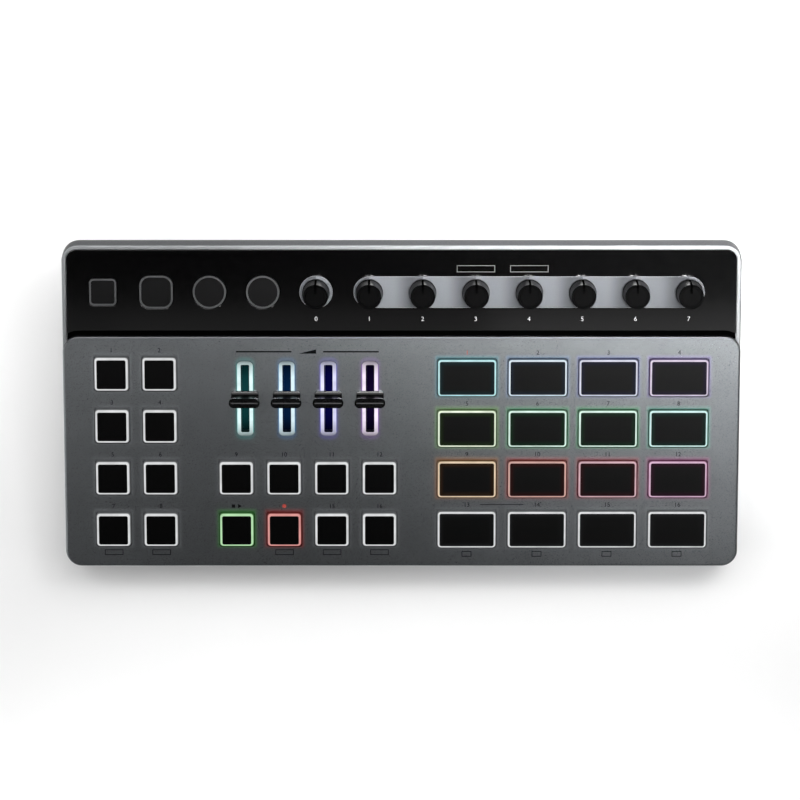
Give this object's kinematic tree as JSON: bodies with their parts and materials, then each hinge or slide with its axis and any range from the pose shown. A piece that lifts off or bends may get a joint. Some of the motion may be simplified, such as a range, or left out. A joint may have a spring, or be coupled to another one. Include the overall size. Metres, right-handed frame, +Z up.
{
  "type": "drum pad controller",
  "caption": "Low wedge-shaped desktop drum pad controller: sloped metal deck with lit keys, lit pads and slide faders, and a glossy rear band of rotary knobs and buttons.",
  "frame": {"origin": "on the table under the middle of the case's bounding box", "axes": "+X to the right along the case, +Y to the rear, +Z up; the deck faces up and slopes down to the front"},
  "size_m": [0.3122, 0.151, 0.0538],
  "materials": {
    "shell_metal": "bead-blasted grey",
    "deck_metal": "bead-blasted dark grey anodised",
    "panel_black": "polished black acrylic",
    "strip_metal": "satin pale grey",
    "light_guide": "frosted translucent, lit",
    "case_plastic": "fine textured black",
    "board": "green solder mask",
    "mat_rubber": "matte grey silicone",
    "pot_metal": "plated",
    "socket_plastic": "moulded black",
    "foot_rubber": "matte",
    "screw_steel": "black zinc",
    "fader_black": "satin black with a white line",
    "button_black": "satin black with a grey bead",
    "knob_black": "satin black",
    "key_white": "black face, white lit rim",
    "key_green": "black face, green lit rim",
    "key_red": "black face, red lit rim",
    "pad_cyan": "black face, cyan lit rim",
    "pad_blue": "black face, blue lit rim",
    "pad_indigo": "black face, indigo lit rim",
    "pad_violet": "black face, violet lit rim",
    "pad_lime": "black face, lime lit rim",
    "pad_green": "black face, green lit rim",
    "pad_teal": "black face, teal lit rim",
    "pad_orange": "black face, orange lit rim",
    "pad_red": "black face, red lit rim",
    "pad_rose": "black face, rose lit rim",
    "pad_pink": "black face, pink lit rim",
    "pad_white": "black face, white lit rim"
  },
  "bodies": {
    "case": {"top_shell": "shell_metal", "deck_plate": "deck_metal", "control_panel": "panel_black", "knob_strip": "strip_metal", "fader_light_guides": "light_guide", "bottom_case": "case_plastic", "circuit_boards": "board", "switch_mat": "mat_rubber", "potentiometers": "pot_metal", "rear_sockets": "socket_plastic", "feet": "foot_rubber", "case_screws": "screw_steel"},
    "left_key_1": {"left_key_1": "key_white"},
    "left_key_2": {"left_key_2": "key_white"},
    "left_key_3": {"left_key_3": "key_white"},
    "left_key_4": {"left_key_4": "key_white"},
    "left_key_5": {"left_key_5": "key_white"},
    "left_key_6": {"left_key_6": "key_white"},
    "left_key_7": {"left_key_7": "key_white"},
    "left_key_8": {"left_key_8": "key_white"},
    "mid_key_1": {"mid_key_1": "key_white"},
    "mid_key_2": {"mid_key_2": "key_white"},
    "mid_key_3": {"mid_key_3": "key_white"},
    "mid_key_4": {"mid_key_4": "key_white"},
    "mid_key_5": {"mid_key_5": "key_green"},
    "mid_key_6": {"mid_key_6": "key_red"},
    "mid_key_7": {"mid_key_7": "key_white"},
    "mid_key_8": {"mid_key_8": "key_white"},
    "pad_1": {"pad_1": "pad_cyan"},
    "pad_2": {"pad_2": "pad_blue"},
    "pad_3": {"pad_3": "pad_indigo"},
    "pad_4": {"pad_4": "pad_violet"},
    "pad_5": {"pad_5": "pad_lime"},
    "pad_6": {"pad_6": "pad_green"},
    "pad_7": {"pad_7": "pad_green"},
    "pad_8": {"pad_8": "pad_teal"},
    "pad_9": {"pad_9": "pad_orange"},
    "pad_10": {"pad_10": "pad_red"},
    "pad_11": {"pad_11": "pad_rose"},
    "pad_12": {"pad_12": "pad_pink"},
    "pad_13": {"pad_13": "pad_white"},
    "pad_14": {"pad_14": "pad_white"},
    "pad_15": {"pad_15": "pad_white"},
    "pad_16": {"pad_16": "pad_white"},
    "fader_cap_1": {"fader_cap_1": "fader_black"},
    "fader_cap_2": {"fader_cap_2": "fader_black"},
    "fader_cap_3": {"fader_cap_3": "fader_black"},
    "fader_cap_4": {"fader_cap_4": "fader_black"},
    "panel_button_1": {"panel_button_1": "button_black"},
    "panel_button_2": {"panel_button_2": "button_black"},
    "panel_button_3": {"panel_button_3": "button_black"},
    "panel_button_4": {"panel_button_4": "button_black"},
    "value_knob": {"value_knob": "knob_black"},
    "pot_knob_1": {"pot_knob_1": "knob_black"},
    "pot_knob_2": {"pot_knob_2": "knob_black"},
    "pot_knob_3": {"pot_knob_3": "knob_black"},
    "pot_knob_4": {"pot_knob_4": "knob_black"},
    "pot_knob_5": {"pot_knob_5": "knob_black"},
    "pot_knob_6": {"pot_knob_6": "knob_black"},
    "pot_knob_7": {"pot_knob_7": "knob_black"}
  },
  "joints": [
    {"name": "left_key_1_press", "type": "slide", "parent": "case", "child": "left_key_1", "axis": [0, -0.1392, 0.9903], "range_m": [-0.0012, 0], "stiffness_N_per_m": 350, "springref_m": 0.0005},
    {"name": "left_key_2_press", "type": "slide", "parent": "case", "child": "left_key_2", "axis": [0, -0.1392, 0.9903], "range_m": [-0.0012, 0], "stiffness_N_per_m": 350, "springref_m": 0.0005},
    {"name": "left_key_3_press", "type": "slide", "parent": "case", "child": "left_key_3", "axis": [0, -0.1392, 0.9903], "range_m": [-0.0012, 0], "stiffness_N_per_m": 350, "springref_m": 0.0005},
    {"name": "left_key_4_press", "type": "slide", "parent": "case", "child": "left_key_4", "axis": [0, -0.1392, 0.9903], "range_m": [-0.0012, 0], "stiffness_N_per_m": 350, "springref_m": 0.0005},
    {"name": "left_key_5_press", "type": "slide", "parent": "case", "child": "left_key_5", "axis": [0, -0.1392, 0.9903], "range_m": [-0.0012, 0], "stiffness_N_per_m": 350, "springref_m": 0.0005},
    {"name": "left_key_6_press", "type": "slide", "parent": "case", "child": "left_key_6", "axis": [0, -0.1392, 0.9903], "range_m": [-0.0012, 0], "stiffness_N_per_m": 350, "springref_m": 0.0005},
    {"name": "left_key_7_press", "type": "slide", "parent": "case", "child": "left_key_7", "axis": [0, -0.1392, 0.9903], "range_m": [-0.0012, 0], "stiffness_N_per_m": 350, "springref_m": 0.0005},
    {"name": "left_key_8_press", "type": "slide", "parent": "case", "child": "left_key_8", "axis": [0, -0.1392, 0.9903], "range_m": [-0.0012, 0], "stiffness_N_per_m": 350, "springref_m": 0.0005},
    {"name": "mid_key_1_press", "type": "slide", "parent": "case", "child": "mid_key_1", "axis": [0, -0.1392, 0.9903], "range_m": [-0.0012, 0], "stiffness_N_per_m": 350, "springref_m": 0.0005},
    {"name": "mid_key_2_press", "type": "slide", "parent": "case", "child": "mid_key_2", "axis": [0, -0.1392, 0.9903], "range_m": [-0.0012, 0], "stiffness_N_per_m": 350, "springref_m": 0.0005},
    {"name": "mid_key_3_press", "type": "slide", "parent": "case", "child": "mid_key_3", "axis": [0, -0.1392, 0.9903], "range_m": [-0.0012, 0], "stiffness_N_per_m": 350, "springref_m": 0.0005},
    {"name": "mid_key_4_press", "type": "slide", "parent": "case", "child": "mid_key_4", "axis": [0, -0.1392, 0.9903], "range_m": [-0.0012, 0], "stiffness_N_per_m": 350, "springref_m": 0.0005},
    {"name": "mid_key_5_press", "type": "slide", "parent": "case", "child": "mid_key_5", "axis": [0, -0.1392, 0.9903], "range_m": [-0.0012, 0], "stiffness_N_per_m": 350, "springref_m": 0.0005},
    {"name": "mid_key_6_press", "type": "slide", "parent": "case", "child": "mid_key_6", "axis": [0, -0.1392, 0.9903], "range_m": [-0.0012, 0], "stiffness_N_per_m": 350, "springref_m": 0.0005},
    {"name": "mid_key_7_press", "type": "slide", "parent": "case", "child": "mid_key_7", "axis": [0, -0.1392, 0.9903], "range_m": [-0.0012, 0], "stiffness_N_per_m": 350, "springref_m": 0.0005},
    {"name": "mid_key_8_press", "type": "slide", "parent": "case", "child": "mid_key_8", "axis": [0, -0.1392, 0.9903], "range_m": [-0.0012, 0], "stiffness_N_per_m": 350, "springref_m": 0.0005},
    {"name": "pad_1_press", "type": "slide", "parent": "case", "child": "pad_1", "axis": [0, -0.1392, 0.9903], "range_m": [-0.001, 0], "stiffness_N_per_m": 900, "springref_m": 0.0005},
    {"name": "pad_2_press", "type": "slide", "parent": "case", "child": "pad_2", "axis": [0, -0.1392, 0.9903], "range_m": [-0.001, 0], "stiffness_N_per_m": 900, "springref_m": 0.0005},
    {"name": "pad_3_press", "type": "slide", "parent": "case", "child": "pad_3", "axis": [0, -0.1392, 0.9903], "range_m": [-0.001, 0], "stiffness_N_per_m": 900, "springref_m": 0.0005},
    {"name": "pad_4_press", "type": "slide", "parent": "case", "child": "pad_4", "axis": [0, -0.1392, 0.9903], "range_m": [-0.001, 0], "stiffness_N_per_m": 900, "springref_m": 0.0005},
    {"name": "pad_5_press", "type": "slide", "parent": "case", "child": "pad_5", "axis": [0, -0.1392, 0.9903], "range_m": [-0.001, 0], "stiffness_N_per_m": 900, "springref_m": 0.0005},
    {"name": "pad_6_press", "type": "slide", "parent": "case", "child": "pad_6", "axis": [0, -0.1392, 0.9903], "range_m": [-0.001, 0], "stiffness_N_per_m": 900, "springref_m": 0.0005},
    {"name": "pad_7_press", "type": "slide", "parent": "case", "child": "pad_7", "axis": [0, -0.1392, 0.9903], "range_m": [-0.001, 0], "stiffness_N_per_m": 900, "springref_m": 0.0005},
    {"name": "pad_8_press", "type": "slide", "parent": "case", "child": "pad_8", "axis": [0, -0.1392, 0.9903], "range_m": [-0.001, 0], "stiffness_N_per_m": 900, "springref_m": 0.0005},
    {"name": "pad_9_press", "type": "slide", "parent": "case", "child": "pad_9", "axis": [0, -0.1392, 0.9903], "range_m": [-0.001, 0], "stiffness_N_per_m": 900, "springref_m": 0.0005},
    {"name": "pad_10_press", "type": "slide", "parent": "case", "child": "pad_10", "axis": [0, -0.1392, 0.9903], "range_m": [-0.001, 0], "stiffness_N_per_m": 900, "springref_m": 0.0005},
    {"name": "pad_11_press", "type": "slide", "parent": "case", "child": "pad_11", "axis": [0, -0.1392, 0.9903], "range_m": [-0.001, 0], "stiffness_N_per_m": 900, "springref_m": 0.0005},
    {"name": "pad_12_press", "type": "slide", "parent": "case", "child": "pad_12", "axis": [0, -0.1392, 0.9903], "range_m": [-0.001, 0], "stiffness_N_per_m": 900, "springref_m": 0.0005},
    {"name": "pad_13_press", "type": "slide", "parent": "case", "child": "pad_13", "axis": [0, -0.1392, 0.9903], "range_m": [-0.001, 0], "stiffness_N_per_m": 900, "springref_m": 0.0005},
    {"name": "pad_14_press", "type": "slide", "parent": "case", "child": "pad_14", "axis": [0, -0.1392, 0.9903], "range_m": [-0.001, 0], "stiffness_N_per_m": 900, "springref_m": 0.0005},
    {"name": "pad_15_press", "type": "slide", "parent": "case", "child": "pad_15", "axis": [0, -0.1392, 0.9903], "range_m": [-0.001, 0], "stiffness_N_per_m": 900, "springref_m": 0.0005},
    {"name": "pad_16_press", "type": "slide", "parent": "case", "child": "pad_16", "axis": [0, -0.1392, 0.9903], "range_m": [-0.001, 0], "stiffness_N_per_m": 900, "springref_m": 0.0005},
    {"name": "panel_button_1_press", "type": "slide", "parent": "case", "child": "panel_button_1", "axis": [0, -0.1392, 0.9903], "range_m": [-0.0008, 0], "stiffness_N_per_m": 700, "springref_m": 0.0005},
    {"name": "panel_button_2_press", "type": "slide", "parent": "case", "child": "panel_button_2", "axis": [0, -0.1392, 0.9903], "range_m": [-0.0008, 0], "stiffness_N_per_m": 700, "springref_m": 0.0005},
    {"name": "panel_button_3_press", "type": "slide", "parent": "case", "child": "panel_button_3", "axis": [0, -0.1392, 0.9903], "range_m": [-0.0008, 0], "stiffness_N_per_m": 700, "springref_m": 0.0005},
    {"name": "panel_button_4_press", "type": "slide", "parent": "case", "child": "panel_button_4", "axis": [0, -0.1392, 0.9903], "range_m": [-0.0008, 0], "stiffness_N_per_m": 700, "springref_m": 0.0005},
    {"name": "fader_cap_1_slide", "type": "slide", "parent": "case", "child": "fader_cap_1", "axis": [0, 0.9903, 0.1392], "range_m": [-0.0145, 0.0145]},
    {"name": "fader_cap_2_slide", "type": "slide", "parent": "case", "child": "fader_cap_2", "axis": [0, 0.9903, 0.1392], "range_m": [-0.0145, 0.0145]},
    {"name": "fader_cap_3_slide", "type": "slide", "parent": "case", "child": "fader_cap_3", "axis": [0, 0.9903, 0.1392], "range_m": [-0.0145, 0.0145]},
    {"name": "fader_cap_4_slide", "type": "slide", "parent": "case", "child": "fader_cap_4", "axis": [0, 0.9903, 0.1392], "range_m": [-0.0145, 0.0145]},
    {"name": "value_knob_turn", "type": "hinge", "parent": "case", "child": "value_knob", "pos_m": [-0.03921, 0.05172, 0.03914], "axis": [0, -0.1392, 0.9903], "continuous": true},
    {"name": "pot_knob_1_turn", "type": "hinge", "parent": "case", "child": "pot_knob_1", "pos_m": [-0.0148, 0.05172, 0.03914], "axis": [0, -0.1392, 0.9903], "range_deg": [-150, 150]},
    {"name": "pot_knob_2_turn", "type": "hinge", "parent": "case", "child": "pot_knob_2", "pos_m": [0.0096, 0.05172, 0.03914], "axis": [0, -0.1392, 0.9903], "range_deg": [-150, 150]},
    {"name": "pot_knob_3_turn", "type": "hinge", "parent": "case", "child": "pot_knob_3", "pos_m": [0.03401, 0.05172, 0.03914], "axis": [0, -0.1392, 0.9903], "range_deg": [-150, 150]},
    {"name": "pot_knob_4_turn", "type": "hinge", "parent": "case", "child": "pot_knob_4", "pos_m": [0.05841, 0.05172, 0.03914], "axis": [0, -0.1392, 0.9903], "range_deg": [-150, 150]},
    {"name": "pot_knob_5_turn", "type": "hinge", "parent": "case", "child": "pot_knob_5", "pos_m": [0.08282, 0.05172, 0.03914], "axis": [0, -0.1392, 0.9903], "range_deg": [-150, 150]},
    {"name": "pot_knob_6_turn", "type": "hinge", "parent": "case", "child": "pot_knob_6", "pos_m": [0.10722, 0.05172, 0.03914], "axis": [0, -0.1392, 0.9903], "range_deg": [-150, 150]},
    {"name": "pot_knob_7_turn", "type": "hinge", "parent": "case", "child": "pot_knob_7", "pos_m": [0.13162, 0.05172, 0.03914], "axis": [0, -0.1392, 0.9903], "range_deg": [-150, 150]}
  ]
}
